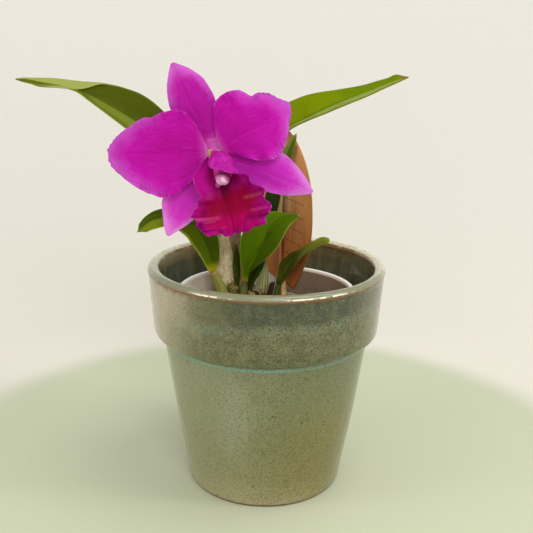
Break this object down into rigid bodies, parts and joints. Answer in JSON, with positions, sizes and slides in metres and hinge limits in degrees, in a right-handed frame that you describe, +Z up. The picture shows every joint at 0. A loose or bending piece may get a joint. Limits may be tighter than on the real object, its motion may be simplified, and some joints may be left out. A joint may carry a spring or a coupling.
{
  "type": "cattleya orchid in pot",
  "caption": "Flowering cattleya orchid with strap leaves and pseudobulbs, growing in bark in a nursery pot inside a glazed stoneware cover pot, with a wooden plant label.",
  "frame": {"origin": "middle of the cover pot's flat base, on the surface that it stands on", "axes": "+Z up along the pot's axis, -Y towards the side that the flower faces, +X to the right seen from there"},
  "size_m": [0.2385, 0.15, 0.2675],
  "materials": {
    "glaze": "glossy speckled sage-green glaze",
    "nursery": "satin taupe plastic",
    "bark": "rough orchid bark",
    "rhizome": "living rhizome and roots, rough, mossy in places",
    "dry_bulb": "dry papery sheath on an old pseudobulb",
    "green_bulb": "ribbed green pseudobulb",
    "leaf": "smooth leathery mid-green leaf",
    "dark_leaf": "smooth leathery dark-green leaf",
    "stem": "green flower stem",
    "sheath": "dry flower sheath",
    "petal": "soft magenta petal with fine veins",
    "lip": "velvety crimson lip with a frilled edge",
    "column": "waxy lilac column",
    "anther": "waxy white anther cap",
    "board_wood": "thin brown wood with faint ruled lines",
    "stake_wood": "bare split wood"
  },
  "bodies": {
    "root": {"ceramic_pot": "glaze", "nursery_pot": "nursery", "bark_mix": "bark", "rhizome": "rhizome", "pseudobulb_1": "dry_bulb", "pseudobulb_2": "dry_bulb", "pseudobulb_3": "green_bulb", "pseudobulb_4": "green_bulb", "pseudobulb_5": "green_bulb", "new_shoot": "green_bulb", "leaf_long_left": "leaf", "leaf_long_right": "leaf", "leaf_upright": "leaf", "leaf_arching": "leaf", "leaf_broad_front": "leaf", "leaf_small_back": "dark_leaf", "leaf_slim": "dark_leaf", "leaf_small_right": "dark_leaf", "flower_stem": "stem", "flower_sheath": "sheath", "sepal_dorsal": "petal", "sepal_left": "petal", "sepal_right": "petal", "petal_left": "petal", "petal_right": "petal", "lip": "lip", "column": "column", "anther_cap": "anther", "label_board": "board_wood", "label_stake": "stake_wood"}
  },
  "joints": []
}
